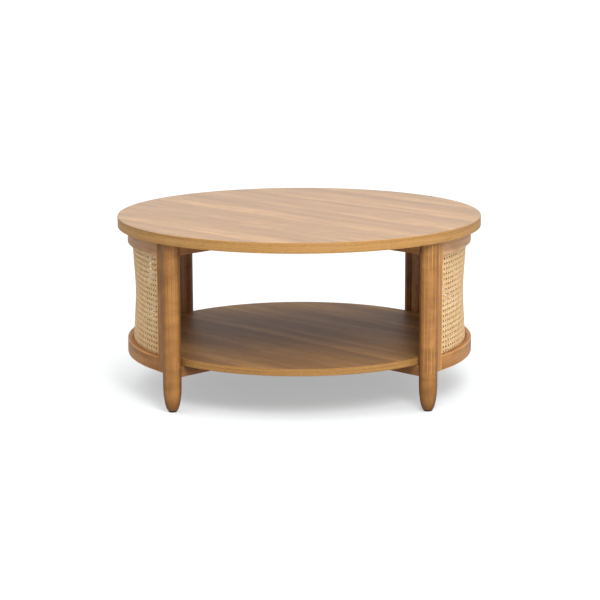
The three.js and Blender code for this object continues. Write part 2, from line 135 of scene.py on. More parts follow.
class Shader:
    """The node tree of a material or of the world, with one short call for each kind of node."""

    def __init__(self, owner):
        self.owner = owner
        owner.use_nodes = True
        self.tree = owner.node_tree
        self.tree.nodes.clear()

    def node(self, kind, inputs, **settings):
        made = self.tree.nodes.new("ShaderNode" + kind)
        for key, value in settings.items():
            setattr(made, key, value)
        for key, value in inputs.items():
            self.feed(made.inputs[key], value)
        return made

    def feed(self, socket, value):
        if isinstance(value, bpy.types.NodeSocket):
            self.tree.links.new(value, socket)
        else:
            socket.default_value = value

    def attribute(self, name, output="Vector"):
        return self.node("Attribute", {}, attribute_name=name).outputs[output]

    def object_position(self):
        return self.node("TexCoord", {}).outputs["Object"]

    def placed(self, vector, turn=0.0, stretch=(1, 1, 1)):
        """The vector turned about Z, then stretched along each axis."""
        turned = self.node("Mapping", {"Vector": vector, "Rotation": (0, 0, turn)})
        return self.node("Mapping", {"Vector": turned.outputs[0], "Scale": stretch}).outputs[0]

    def noise(self, vector, detail=3.0, roughness=0.5, distortion=0.0):
        inputs = {
            "Vector": vector,
            "Scale": 1.0,
            "Detail": detail,
            "Roughness": roughness,
            "Distortion": distortion,
        }
        return self.node("TexNoise", inputs).outputs[0]

    def math(self, operation, a, b=0.0, c=0.0):
        made = self.node("Math", {0: a, 1: b}, operation=operation)
        if operation == "MULTIPLY_ADD":
            self.feed(made.inputs[2], c)
        return made.outputs[0]

    def spread(self, value, low, high, to_low=0.0, to_high=1.0):
        inputs = {"Value": value, 1: low, 2: high, 3: to_low, 4: to_high}
        return self.node("MapRange", inputs, interpolation_type="SMOOTHSTEP").outputs[0]

    def mix(self, share, a, b, blend="MIX"):
        made = self.node("Mix", {}, data_type="RGBA", blend_type=blend)
        self.feed(made.inputs[0], share)
        self.feed(made.inputs[6], a)
        self.feed(made.inputs[7], b)
        return made.outputs[2]

    def bump(self, height, distance, strength=1.0):
        inputs = {"Height": height, "Distance": distance, "Strength": strength}
        return self.node("Bump", inputs).outputs[0]

    def surface(self, **inputs):
        names = {key.replace("_", " "): value for key, value in inputs.items()}
        made = self.node("BsdfPrincipled", names)
        output = self.node("OutputMaterial", {})
        self.tree.links.new(made.outputs[0], output.inputs["Surface"])
        return self.owner


def material_shader(name):
    return Shader(bpy.data.materials.new(name))


def display(red, green, blue):
    """A colour given as it shows on a screen, 0 to 255, as the linear colour that a shader takes."""
    linear = [((value / 255 + 0.055) / 1.055) ** 2.4 for value in (red, green, blue)]
    return (*linear, 1.0)


# ---------------------------------------------------------------- materials


def wood_shades(shader, grain, light, dark, fineness=1.0, contrast=1.0, figure=None):
    """Colour of lengthwise wood: slow tone, growth streaks and pores. Returns colour, height and pores.

    figure adds cross-grain clouds or flecks, as the stretch of their noise and how strongly they show.
    """
    slow = shader.noise(shader.placed(grain, stretch=(2.5, 28, 28)), detail=2.0)
    cloud = shader.noise(shader.placed(grain, stretch=(16, 34, 34)), detail=3.0, distortion=0.6)
    streak_scale = (4, 240 * fineness, 240 * fineness)
    streaks = shader.noise(shader.placed(grain, stretch=streak_scale), detail=4.0, roughness=0.65)
    pore_scale = (95, 1900 * fineness, 1900 * fineness)
    pores = shader.noise(shader.placed(grain, stretch=pore_scale), detail=1.0)
    pores = shader.spread(pores, 0.60, 0.74)

    tone = shader.math("MULTIPLY_ADD", slow, 0.9 * contrast, 0.85 - 1.05 * contrast)
    tone = shader.math("MULTIPLY_ADD", cloud, 0.5 * contrast, tone)
    tone = shader.math("MULTIPLY_ADD", streaks, 0.7 * contrast, tone)
    if figure:
        stretch, strength = figure
        ripple = shader.noise(shader.placed(grain, stretch=stretch), detail=2.0, distortion=0.4)
        ripple = shader.math("MULTIPLY_ADD", ripple, strength, -0.5 * strength)
        tone = shader.math("ADD", tone, ripple)
    tone = shader.spread(tone, 0.45, 1.15)
    colour = shader.mix(tone, light, dark)
    darker_pores = shader.math("MULTIPLY", pores, 0.35)
    colour = shader.mix(darker_pores, colour, dark, blend="MULTIPLY")
    height = shader.math("MULTIPLY_ADD", pores, -1.0, shader.math("MULTIPLY", streaks, 0.5))
    return colour, height, pores


def frame_wood(name, light, dark, contrast=1.0, figure=None, wear_strength=1.0, shine=0.16, depth=0.0, painted_tilt_shade=0.0):
    """Stained and lacquered solid wood. Its grain follows the piece, and its arrises are rubbed lighter.

    depth is how strongly shade is painted where the surface turns away from the eye, to darken the edges of
    round pieces, and painted_tilt_shade how strongly shade is painted where an upright piece's surface tilts
    towards up or down, as at the tips of the feet.
    """
    shader = material_shader(name)
    grain = shader.attribute("grain")
    colour, height, pores = wood_shades(shader, grain, light, dark, contrast=contrast, figure=figure)
    wear = shader.attribute("wear", "Fac")
    rub = shader.noise(shader.placed(grain, stretch=(60, 300, 300)), detail=2.0)
    patchy = shader.spread(rub, 0.35, 0.7, 0.15 * wear_strength, 0.75 * wear_strength)
    rubbed = shader.math("MULTIPLY", wear, patchy)
    colour = shader.mix(rubbed, colour, tuple(min(1.0, value * 1.35) for value in light[:3]) + (1.0,))
    # Painted shade: darker where the surface tilts from upright, as on the tips of the feet.
    if painted_tilt_shade > 0:
        normal = shader.node("SeparateXYZ", {0: shader.node("NewGeometry", {}).outputs["Normal"]})
        tilt = shader.math("ABSOLUTE", normal.outputs[2])
        colour = shader.mix(shader.spread(tilt, 0.0, 0.3, 0.0, painted_tilt_shade), colour, dark)
    # Painted shade: the colour darkens where the surface turns away from the eye, at the edges of round legs.
    if depth > 0:
        turned_away = shader.node("LayerWeight", {"Blend": 0.5}).outputs["Facing"]
        colour = shader.mix(shader.spread(turned_away, 0.08, 0.85, 0.0, depth), colour, PAINTED_EDGE_SHADE)
    rough = shader.math("MULTIPLY_ADD", pores, 0.15, 0.42)
    bump = shader.bump(height, 0.06 * MM)
    return shader.surface(Base_Color=colour, Roughness=rough, Specular_IOR_Level=shine, Normal=bump)


def veneer(name, light, dark, strip_phase, strip_strength, sheen, shine):
    """Board face laid with diagonal strips of veneer, each shading from a light edge to a dark one."""
    strip_width = 0.143
    shader = material_shader(name)
    grain = shader.attribute("grain")
    split = shader.node("SeparateXYZ", {0: grain})
    along, across = split.outputs[0], split.outputs[1]
    sway = shader.noise(shader.placed(grain, stretch=(2.2, 5, 5)), detail=2.0)
    wandering = shader.math("MULTIPLY_ADD", sway, 0.05, across)
    strip = shader.math("ADD", wandering, -strip_phase - 0.025)
    strip = shader.math("DIVIDE", strip, strip_width)
    strip_number = shader.math("FLOOR", strip)
    place_in_strip = shader.math("SUBTRACT", strip, strip_number)
    shade = shader.spread(place_in_strip, -0.15, 1.0)
    step_back = shader.spread(place_in_strip, 0.0, 0.07, 1.0, 0.0)
    shade = shader.math("MAXIMUM", shade, shader.math("MULTIPLY", step_back, 0.8))

    shifted = shader.node("CombineXYZ", {0: along, 1: across, 2: shader.math("MULTIPLY", strip_number, 0.37)})
    own_grain = shifted.outputs[0]
    colour, height, pores = wood_shades(shader, own_grain, light, dark, fineness=0.8, contrast=0.65)
    broad = shader.noise(shader.placed(own_grain, stretch=(1.6, 34, 3)), detail=3.0, roughness=0.6)
    shade = shader.math("MULTIPLY_ADD", shader.spread(broad, 0.3, 0.7), 0.7, shade)
    shade = shader.spread(shade, 0.1, 1.6, 0.4 - strip_strength / 2, 0.4 + strip_strength / 2)
    colour = shader.mix(shade, colour, dark)
    rough = shader.math("MULTIPLY_ADD", pores, 0.1, 0.45)
    bump = shader.bump(height, 0.03 * MM)
    return shader.surface(
        Base_Color=colour,
        Roughness=rough,
        Specular_IOR_Level=shine,
        Sheen_Weight=sheen,
        Sheen_Roughness=0.35,
        Normal=bump,
    )


def cane_material():
    """Peeled cane: glossy straw-coloured skin with fine fibres, each strand a slightly different shade.

    A strand's inner side is darker than its skin: partly its pith, partly painted shade for the shaded inside of the
    table seen through the holes.
    """
    shader = material_shader("woven_cane")
    grain = shader.attribute("grain")
    tone = shader.attribute("tone", "Fac")
    fibres = shader.noise(shader.placed(grain, stretch=(40, 3500, 3500)), detail=2.0)
    stain = shader.noise(shader.placed(grain, stretch=(25, 120, 120)), detail=3.0)
    pale = display(240, 208, 162)
    tan = display(212, 168, 114)
    shade = shader.math("MULTIPLY_ADD", fibres, 0.5, shader.math("MULTIPLY", tone, 0.6))
    shade = shader.math("MULTIPLY_ADD", stain, 0.5, shade)
    colour = shader.mix(shader.spread(shade, 0.35, 1.25), pale, tan)
    # Pith and painted shade: each strand's inner side darkens, partly as the duller pith of cane, partly as painted
    # shade for the shaded inside of the table that shows through the holes.
    pith_and_shade = shader.math("MULTIPLY", shader.attribute("pith_and_shade", "Fac"), 0.7)
    colour = shader.mix(pith_and_shade, colour, display(112, 80, 48))
    bump = shader.bump(fibres, 0.05 * MM)
    return shader.surface(
        Base_Color=colour,
        Roughness=0.5,
        Specular_IOR_Level=0.25,
        Subsurface_Weight=0.7,
        Subsurface_Radius=(1.0, 0.75, 0.5),
        Subsurface_Scale=1.2 * MM,
        Normal=bump,
    )


def plain_grain_wood(name, light, dark, turn=0.0, upright=False, roughness=0.6):
    """Wood for a straight CAD piece, with its grain along X turned by an angle, or along Z."""
    shader = material_shader(name)
    place = shader.object_position()
    if upright:
        split = shader.node("SeparateXYZ", {0: place})
        place = shader.node(
            "CombineXYZ",
            {0: split.outputs[2], 1: split.outputs[0], 2: split.outputs[1]},
        ).outputs[0]
    grain = shader.placed(place, turn=turn)
    colour, height, pores = wood_shades(shader, grain, light, dark)
    rough = shader.math("MULTIPLY_ADD", pores, 0.15, roughness)
    return shader.surface(Base_Color=colour, Roughness=rough, Normal=shader.bump(height, 0.06 * MM))


def glide_plastic():
    """Dark moulded plastic with a fine grained skin."""
    shader = material_shader("glide_plastic")
    speckle = shader.noise(shader.placed(shader.object_position(), stretch=(2500, 2500, 2500)))
    colour = shader.mix(speckle, display(42, 36, 32), display(66, 56, 48))
    return shader.surface(Base_Color=colour, Roughness=0.55, Normal=shader.bump(speckle, 0.05 * MM))


def screw_steel():
    """Zinc-plated steel with fine turning marks and a slightly mottled shine."""
    shader = material_shader("screw_steel")
    place = shader.object_position()
    turning = shader.noise(shader.placed(place, stretch=(300, 300, 6000)))
    mottle = shader.noise(shader.placed(place, stretch=(700, 700, 700)))
    colour = shader.mix(mottle, display(168, 166, 160), display(206, 204, 196))
    rough = shader.spread(mottle, 0.3, 0.7, 0.25, 0.45)
    bump = shader.bump(turning, 0.02 * MM)
    return shader.surface(Base_Color=colour, Metallic=1.0, Roughness=rough, Normal=bump)


# Painted shade that darkens the edges of round pieces where they turn away from the eye.
PAINTED_EDGE_SHADE = display(84, 50, 20)
LEG_LIGHT = display(211, 151, 82)
LEG_DARK = display(118, 74, 30)
RAIL_LIGHT = display(196, 142, 84)
RAIL_DARK = display(140, 93, 47)
# The top rails are lighter and greyer than the bottom ones: painted light, standing in for light that reaches them
# under the top's overhang.
TOP_RAIL_LIGHT = display(220, 176, 134)
TOP_RAIL_DARK = display(166, 124, 88)
# The left stiles are darker and the right stiles lighter: painted shade and painted light, for the light from the
# right front.
LEFT_STILE_LIGHT = display(178, 126, 72)
LEFT_STILE_DARK = display(122, 80, 40)
RIGHT_STILE_LIGHT = display(224, 168, 108)
RIGHT_STILE_DARK = display(166, 116, 66)
TOP_LIGHT = display(216, 164, 100)
TOP_DARK = display(138, 98, 52)
SHELF_LIGHT = display(194, 145, 86)
SHELF_DARK = display(124, 87, 46)
BAND_LIGHT = display(188, 144, 87)
BAND_DARK = display(140, 98, 50)
BATTEN_LIGHT = display(180, 124, 70)
BATTEN_DARK = display(126, 82, 42)
DOWEL_LIGHT = display(226, 190, 146)
DOWEL_DARK = display(196, 154, 108)
REED_LIGHT = display(228, 194, 148)
REED_DARK = display(190, 148, 102)

LEG_FIGURE = ((46, 16, 16), 0.32)  # faint ripple across the turned wood
BAND_FIGURE = ((8500, 350, 8500), 0.42)  # short flecks, in the squeezed grain of the bands

materials = {
    # The legs get painted shade at their edges and on the tips of their feet.
    "leg": frame_wood("leg_wood", LEG_LIGHT, LEG_DARK, contrast=0.35, figure=LEG_FIGURE, shine=0.34, depth=0.75, painted_tilt_shade=0.6),
    "rail": frame_wood("rail_wood", RAIL_LIGHT, RAIL_DARK),
    "top_rail": frame_wood("top_rail_wood_painted_lighter", TOP_RAIL_LIGHT, TOP_RAIL_DARK),
    "left_stile": frame_wood("left_stile_wood", LEFT_STILE_LIGHT, LEFT_STILE_DARK),
    "right_stile": frame_wood("right_stile_wood", RIGHT_STILE_LIGHT, RIGHT_STILE_DARK),
    "band": frame_wood("edge_band", BAND_LIGHT, BAND_DARK, figure=BAND_FIGURE, wear_strength=0.1),
    "top": veneer("top_veneer", TOP_LIGHT, TOP_DARK, strip_phase=-0.092, strip_strength=0.62, sheen=0.36, shine=0.3),
    "shelf": veneer("shelf_veneer", SHELF_LIGHT, SHELF_DARK, strip_phase=-0.07, strip_strength=0.8, sheen=0.0, shine=0.08),
    "cane": cane_material(),
    "batten_front_left": plain_grain_wood("batten_wood_a", BATTEN_LIGHT, BATTEN_DARK, turn=-LEG_AZIMUTH),
    "batten_front_right": plain_grain_wood("batten_wood_b", BATTEN_LIGHT, BATTEN_DARK, turn=LEG_AZIMUTH),
    "dowel": plain_grain_wood("dowel_wood", DOWEL_LIGHT, DOWEL_DARK, roughness=0.7),
    "upright_reed": plain_grain_wood("upright_reed", REED_LIGHT, REED_DARK, upright=True),
    "curved_reed": plain_grain_wood("curved_reed", REED_LIGHT, REED_DARK, turn=math.pi / 2),
    "glide": glide_plastic(),
    "screw": screw_steel(),
}

# ---------------------------------------------------------------- mesh building


def loft_faces(rings, count, closed):
    """Quads between each ring of points and the next, with flat ends unless the rings close on themselves."""
    faces = []
    last = rings if closed else rings - 1
    for ring in range(last):
        here = ring * count
        there = (ring + 1) % rings * count
        for point in range(count):
            after = (point + 1) % count
            faces.append((here + point, here + after, there + after, there + point))
    if not closed:
        faces.append(tuple(reversed(range(count))))
        faces.append(tuple(range((rings - 1) * count, rings * count)))
    return faces


def tidy_mesh(mesh):
    """Welds points that coincide and turns the faces outward."""
    work = bmesh.new()
    work.from_mesh(mesh)
    bmesh.ops.remove_doubles(work, verts=work.verts, dist=1e-6)
    bmesh.ops.recalc_face_normals(work, faces=work.faces)
    work.to_mesh(mesh)
    work.free()


def add_attribute(mesh, name, kind, values):
    attribute = mesh.attributes.new(name, kind, "POINT")
    key = "vector" if kind == "FLOAT_VECTOR" else "value"
    attribute.data.foreach_set(key, np.asarray(values, np.float32).ravel())


def points_of(mesh):
    points = np.zeros(len(mesh.vertices) * 3, np.float32)
    mesh.vertices.foreach_get("co", points)
    return points.reshape(-1, 3)


def loft(name, rings, wear, closed=False):
    """A closed mesh object through rings of points. wear marks the points of each ring that lie on an arris."""
    rings = np.asarray(rings, float)
    count = rings.shape[1]
    mesh = bpy.data.meshes.new(name)
    mesh.from_pydata(rings.reshape(-1, 3).tolist(), [], loft_faces(len(rings), count, closed))
    add_attribute(mesh, "wear", "FLOAT", wear)
    tidy_mesh(mesh)
    piece = bpy.data.objects.new(name, mesh)
    bpy.context.scene.collection.objects.link(piece)
    return piece


def welded_copy(node):
    """A CAD node's mesh with its triangles joined up, fit to be a cutting tool."""
    tool = bpy.data.objects.new("cutting_tool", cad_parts[node].data.copy())
    bpy.context.scene.collection.objects.link(tool)
    tidy_mesh(tool.data)
    return tool


def cut_away(piece, nodes):
    """Takes the room of other parts out of a piece: mortises, dowel holes, screw holes."""
    tools = [welded_copy(node) for node in nodes]
    for tool in tools:
        modifier = piece.modifiers.new("room_for_part", "BOOLEAN")
        modifier.object = tool
        modifier.operation = "DIFFERENCE"
        modifier.solver = "EXACT"
    bpy.context.view_layer.update()
    graph = bpy.context.evaluated_depsgraph_get()
    mesh = bpy.data.meshes.new_from_object(piece.evaluated_get(graph))
    piece.modifiers.clear()
    piece.data = mesh
    for tool in tools:
        bpy.data.objects.remove(tool)


def complete(piece, material, grain, replaced, sharp_angle=30):
    """Gives a piece its grain, material, shading and place in the frame."""
    mesh = piece.data
    add_attribute(mesh, "grain", "FLOAT_VECTOR", grain(points_of(mesh)))
    mesh.materials.clear()
    mesh.materials.append(materials[material])
    mesh.shade_smooth()
    mesh.set_sharp_from_angle(angle=math.radians(sharp_angle))
    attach(piece, "root")
    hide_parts(*replaced)
    return piece


def rounded(corners, radius, turned_corners):
    """Outline through corners, with the corners numbered in turned_corners eased to a radius.

    Returns the points and, for each, 1 on an eased arris and 0 elsewhere.
    """
    points = []
    wear = []
    count = len(corners)
    for number, corner in enumerate(corners):
        corner = np.asarray(corner, float)
        if number not in turned_corners:
            points.append(corner)
            wear.append(0.0)
            continue
        before = np.asarray(corners[number - 1], float) - corner
        after = np.asarray(corners[(number + 1) % count], float) - corner
        before /= np.linalg.norm(before)
        after /= np.linalg.norm(after)
        half = math.acos(float(np.clip(before @ after, -1, 1))) / 2
        reach = radius / math.tan(half)
        towards = (before + after) / np.linalg.norm(before + after)
        centre = corner + towards * radius / math.sin(half)
        first = corner + before * reach - centre
        last = corner + after * reach - centre
        sweep = math.atan2(first[0] * last[1] - first[1] * last[0], first @ last)
        points.append(corner + before * reach * 2)
        wear.append(0.0)
        for step in range(ARRIS_STEPS + 1):
            angle = sweep * step / ARRIS_STEPS
            turned = np.array([
                first[0] * math.cos(angle) - first[1] * math.sin(angle),
                first[0] * math.sin(angle) + first[1] * math.cos(angle),
            ])
            points.append(centre + turned)
            wear.append(1.0)
        points.append(corner + after * reach * 2)
        wear.append(0.0)
    return np.array(points), wear


def about_table(section, azimuths):
    """Rings that carry a (radius, height) section round the table's axis."""
    rings = []
    for azimuth in azimuths:
        radii = section[:, 0]
        rings.append(np.stack([radii * math.cos(azimuth), radii * math.sin(azimuth), section[:, 1]], 1))
    return rings


def turned_rings(profile, centre, steps):
    """Rings of a solid of revolution about the upright axis through a centre, from a (radius, height) profile."""
    angles = np.linspace(0, 2 * math.pi, steps, endpoint=False)
    rings = []
    for radius, height in profile:
        ring = np.stack([np.cos(angles) * radius + centre[0], np.sin(angles) * radius + centre[1]], 1)
        rings.append(np.column_stack([ring, np.full(steps, height)]))
    return rings


def turn_about_table(rings, angle):
    turn = np.array(Matrix.Rotation(angle, 3, "Z"))
    return np.asarray(rings) @ turn.T


# ---------------------------------------------------------------- grain directions

grain_shift = random.Random(11)


def shifted(values):
    """Moves a piece's grain to its own place in the wood, so that no two pieces look alike."""
    return values + np.array([grain_shift.uniform(0, 9) for _ in range(3)])


def grain_round_table(points):
    """Grain that follows the circle: along the arc, up, and outward."""
    radius = np.hypot(points[:, 0], points[:, 1])
    azimuth = np.arctan2(points[:, 1], np.abs(points[:, 0]))
    return shifted(np.stack([azimuth * BOTTOM_RAIL_RADIUS, points[:, 2], radius], 1))


def grain_upright(points):
    return shifted(points[:, [2, 0, 1]])


def grain_diagonal(points):
    """Grain of the boards: it runs from the rear left to the front right."""
    along = (points[:, 0] - points[:, 1]) * math.sqrt(0.5)
    across = (points[:, 0] + points[:, 1]) * math.sqrt(0.5)
    return np.stack([along, across, points[:, 2]], 1)


def grain_of_band(points):
    """Grain round a full circle, with no seam: a point's own place, squeezed along the circle."""
    squeezed = np.stack([points[:, 0] * 0.02, points[:, 2], points[:, 1] * 0.02], 1)
    return squeezed


# ---------------------------------------------------------------- boards


def board(node, radius, low, high, material, screws):
    core_radius = radius - BAND_THICKNESS - JOINT_GAP / 2
    profile = [(0, low), (core_radius, low), (core_radius, high), (0, high)]
    core = loft(f"{node}_board", turned_rings(profile, (0, 0), BOARD_STEPS), [0.0] * BOARD_STEPS * 4)
    cut_away(core, screws)
    complete(core, material, grain_diagonal, [node])


def edge_band(node, radius, low, high):
    inner = radius - BAND_THICKNESS
    corners = [(inner, low), (radius, low), (radius, high), (inner, high)]
    section, wear = rounded(corners, BOARD_ARRIS, [1, 2])
    azimuths = np.linspace(0, 2 * math.pi, BOARD_STEPS, endpoint=False)
    rings = about_table(section, azimuths)
    band = loft(f"{node}_banding", rings, wear * BOARD_STEPS, closed=True)
    complete(band, "band", grain_of_band, [f"{node}_edge_band"])


def screws_of(kind):
    return [name for name in sorted(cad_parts) if name.startswith(f"{kind}_screw_")]


# ---------------------------------------------------------------- legs and glides


def corner_nodes(corner, kinds):
    return [f"{corner}_{kind}" for kind in kinds]


def leg_profile():
    profile = [(0.0, LEG_LOW)]
    for step in range(FOOT_STEPS):
        height = LEG_LOW + (FOOT_HEIGHT - LEG_LOW) * (step / FOOT_STEPS) ** 2
        drop = (FOOT_HEIGHT - height) / FOOT_HEIGHT
        profile.append((LEG_RADIUS * (1 - drop ** FOOT_ONSET) ** FOOT_FULLNESS, height))
    profile.append((LEG_RADIUS, FOOT_HEIGHT))
    profile.append((LEG_RADIUS, FRAME_TOP - LEG_CHAMFER))
    profile.append((LEG_RADIUS - LEG_CHAMFER, FRAME_TOP))
    profile.append((0.0, FRAME_TOP))
    return profile


def leg(corner, centre, battens):
    profile = leg_profile()
    rings = turned_rings(profile, centre, LEG_STEPS)
    piece = loft(f"{corner}_turned_leg", rings, [0.0] * LEG_STEPS * len(profile))
    inside = ["foot_glide", "lower_leg_dowel", "upper_leg_dowel"]
    cut_away(piece, battens + corner_nodes(corner, inside))
    complete(piece, "leg", grain_upright, [f"{corner}_leg"])


def glide(corner, centre):
    profile = [
        (0.0, 0.0),
        (GLIDE_FLAT_RADIUS, 0.0),
        (GLIDE_RADIUS - 1.4 * MM, 0.45 * MM),
        (GLIDE_RADIUS - 0.7 * MM, 1.3 * MM),
        (GLIDE_RADIUS - 0.2 * MM, 2.5 * MM),
        (GLIDE_RADIUS, GLIDE_TOP),
        (GLIDE_STEM_RADIUS, GLIDE_TOP),
        (GLIDE_STEM_RADIUS, GLIDE_STEM_TOP - 1 * MM),
        (GLIDE_STEM_RADIUS - 1 * MM, GLIDE_STEM_TOP),
        (0.0, GLIDE_STEM_TOP),
    ]
    rings = turned_rings(profile, centre, GLIDE_STEPS)
    piece = loft(f"{corner}_glide_pad", rings, [0.0] * GLIDE_STEPS * len(profile))
    complete(piece, "glide", grain_upright, [f"{corner}_foot_glide"])


# ---------------------------------------------------------------- curved side frames


def rail_section(outer_radius, low, high, groove_on_top):
    """Rail section (radius, height) with eased outer arrises and the cane's groove."""
    face = high if groove_on_top else low
    floor = face - GROOVE_DEPTH if groove_on_top else face + GROOVE_DEPTH
    groove = [
        (GROOVE_OUTER_RADIUS, face),
        (GROOVE_OUTER_RADIUS, floor),
        (GROOVE_INNER_RADIUS, floor),
        (GROOVE_INNER_RADIUS, face),
    ]
    if groove_on_top:
        corners = [(FRAME_INNER_RADIUS, low), (outer_radius, low), (outer_radius, high)]
        corners += groove + [(FRAME_INNER_RADIUS, high)]
        return rounded(corners, ARRIS, [0, 1, 2, 7])
    corners = [(outer_radius, low), (outer_radius, high), (FRAME_INNER_RADIUS, high)]
    corners += [(FRAME_INNER_RADIUS, low)] + groove[::-1]
    return rounded(corners, ARRIS, [0, 1, 2, 3])


def rail(side, level, outer_radius, low, high):
    section, wear = rail_section(outer_radius, low, high, groove_on_top=level == "bottom")
    end = STILE_START - JOINT_GAP / outer_radius
    azimuths = np.linspace(-end, end, RAIL_STEPS + 1)
    rings = turn_about_table(about_table(section, azimuths), SIDES[side])
    piece = loft(f"{side}_{level}_rail_wood", rings, wear * (RAIL_STEPS + 1))
    height = "lower" if level == "bottom" else "upper"
    cut_away(piece, [f"{name}_{side}_{height}_rail_dowel" for name in ("front", "rear")])
    # The top rails take the lighter copy of the rail wood, which carries painted light.
    material = "rail" if level == "bottom" else "top_rail"
    complete(piece, material, grain_round_table, [f"{side}_{level}_rail"])


def polar(radius, azimuth):
    return (radius * math.cos(azimuth), radius * math.sin(azimuth))


def leg_cope():
    """Points of the hollow that fits the stile to the leg, from the stile's inner to its outer face."""
    hollow = LEG_RADIUS + JOINT_GAP
    centre = np.array(polar(LEG_CIRCLE, LEG_AZIMUTH))
    # Where the hollow crosses the stile's outer face: an angle on the table's circle.
    cosine = (STILE_RADIUS ** 2 + LEG_CIRCLE ** 2 - hollow ** 2) / (2 * STILE_RADIUS * LEG_CIRCLE)
    outer_end = np.array(polar(STILE_RADIUS, LEG_AZIMUTH - math.acos(cosine)))
    # Where it crosses the plane of the stile's inner end.
    across = LEG_CIRCLE * math.sin(LEG_AZIMUTH - STILE_END)
    reach = LEG_CIRCLE * math.cos(LEG_AZIMUTH - STILE_END) - math.sqrt(hollow ** 2 - across ** 2)
    inner_end = np.array(polar(reach, STILE_END))
    start = math.atan2(*(inner_end - centre)[::-1])
    stop = math.atan2(*(outer_end - centre)[::-1])
    if stop > start:
        stop -= 2 * math.pi
    angles = np.linspace(start, stop, 13)
    return [tuple(centre + hollow * np.array([math.cos(angle), math.sin(angle)])) for angle in angles]


def stile_outline():
    """Plan of the stile next to the leg, anticlockwise from its inner corner on the rail side."""
    arc_steps = 5
    inner_arc = [polar(FRAME_INNER_RADIUS, azimuth) for azimuth in (STILE_START, STILE_END)]
    outer_arc = [
        polar(STILE_RADIUS, azimuth)
        for azimuth in np.linspace(LEG_AZIMUTH - STILE_OUTER_SPAN, STILE_START, arc_steps)
    ]
    return inner_arc + leg_cope() + outer_arc[1:]


hollow_cosine = (STILE_RADIUS ** 2 + LEG_CIRCLE ** 2 - (LEG_RADIUS + JOINT_GAP) ** 2) / (
    2 * STILE_RADIUS * LEG_CIRCLE
)
STILE_OUTER_SPAN = math.acos(hollow_cosine)


def stile(side, end):
    """The upright that is glued to the leg. end is the sign of its azimuth before the side is turned."""
    outline = stile_outline()
    outer_leg_corner = 2 + 12
    rail_corner = len(outline) - 1
    points, wear = rounded(outline, ARRIS, [0, outer_leg_corner, rail_corner])
    face = np.array([math.cos(STILE_START), math.sin(STILE_START)])
    depth = np.array([-math.sin(STILE_START), math.cos(STILE_START)]) * GROOVE_DEPTH
    mouth = [face * GROOVE_OUTER_RADIUS, face * GROOVE_INNER_RADIUS]
    grooved = np.array([*points, mouth[0], mouth[0] + depth, mouth[1] + depth, mouth[1]])
    plain = np.array([*points, mouth[0], mouth[0], mouth[1], mouth[1]])
    # rounded() starts with the inner rail corner, so the groove's points close the outline.
    wear = wear + [0.0] * 4
    low, high = BOTTOM_RAIL_UNDERSIDE, FRAME_TOP
    groove_low = BOTTOM_RAIL_TOP - GROOVE_DEPTH
    groove_high = TOP_RAIL_UNDERSIDE + GROOVE_DEPTH
    levels = [
        (plain, low),
        (plain, groove_low),
        (grooved, groove_low),
        (grooved, groove_high),
        (plain, groove_high),
        (plain, high),
    ]
    rings = np.array([np.column_stack([shape, np.full(len(shape), height)]) for shape, height in levels])
    rings[:, :, 1] *= end
    name = f"{END_NAMES[side][end]}_{side}"
    piece = loft(f"{name}_stile_wood", turn_about_table(rings, SIDES[side]), wear * len(levels))
    dowels = ["lower_leg_dowel", "upper_leg_dowel", "lower_rail_dowel", "upper_rail_dowel"]
    cut_away(piece, corner_nodes(name, dowels))
    # Each side's stiles take their own copy of the wood: painted shade on the left, painted light on the right.
    complete(piece, f"{side}_stile", grain_upright, [f"{name}_stile"])


# ---------------------------------------------------------------- woven cane

CANE_HALF_LENGTH = CANE_RADIUS * STILE_START + CANE_TUCK
CANE_LOW = BOTTOM_RAIL_TOP - CANE_TUCK
CANE_HIGH = TOP_RAIL_UNDERSIDE + CANE_TUCK


def cane_radius(azimuth, height):
    """Radius of the cane's outer surface: straight at the frame, drawn in towards its middle."""
    across = np.minimum(1, np.abs(azimuth) / STILE_START)
    up = np.minimum(1, np.abs(height - CANE_MIDDLE) / (TOP_RAIL_UNDERSIDE - CANE_MIDDLE))
    full = math.hypot(1, CANE_SOFTNESS) - CANE_SOFTNESS
    hollow = (np.hypot(up, CANE_SOFTNESS) - CANE_SOFTNESS) / full
    return CANE_RADIUS - CANE_WAIST * (1 - hollow) * (1 - across ** 2.5)


def on_cane(along, height, lift):
    """Points of the weave from arc length, height and distance out of its middle surface."""
    azimuth = along / CANE_RADIUS
    radius = cane_radius(azimuth, height) - CANE_MIDDLE_DEPTH + lift
    return np.stack([radius * np.cos(azimuth), radius * np.sin(azimuth), height], -1)


# Half section of a strand: flat inside, crowned outside, as shares of its width and thickness.
STRAND_SECTION = np.array([
    (-0.5, -0.5),
    (0.5, -0.5),
    (0.5, 0.0),
    (0.24, 0.42),
    (-0.24, 0.42),
    (-0.5, 0.0),
])
# Pith and painted shade: these shares darken a strand's inner side.
STRAND_PITH_AND_SHADE = [1.0, 1.0, 0.3, 0.0, 0.0, 0.3]  # how much of each of those points is pith


def strand(along, height, lift, width, shift):
    """Rings of one strand whose middle runs straight over the panel and rises and dips by lift.

    along is measured from the middle pair, which stands shift away from the middle of the panel.
    """
    run = np.array([along[-1] - along[0], height[-1] - height[0]])
    run /= np.linalg.norm(run)
    sideways = STRAND_SECTION[:, 0] * width
    up = STRAND_SECTION[:, 1] * STRAND_THICKNESS
    ring_along = along[:, None] - run[1] * sideways
    ring_height = height[:, None] + run[0] * sideways
    ring_lift = lift[:, None] + up
    points = on_cane(ring_along + shift, ring_height, ring_lift)
    length = np.hypot(along - along[0], height - height[0])
    grain = np.stack([
        np.broadcast_to(length[:, None], ring_along.shape),
        np.broadcast_to(sideways, ring_along.shape),
        ring_lift,
    ], -1)
    return points, grain


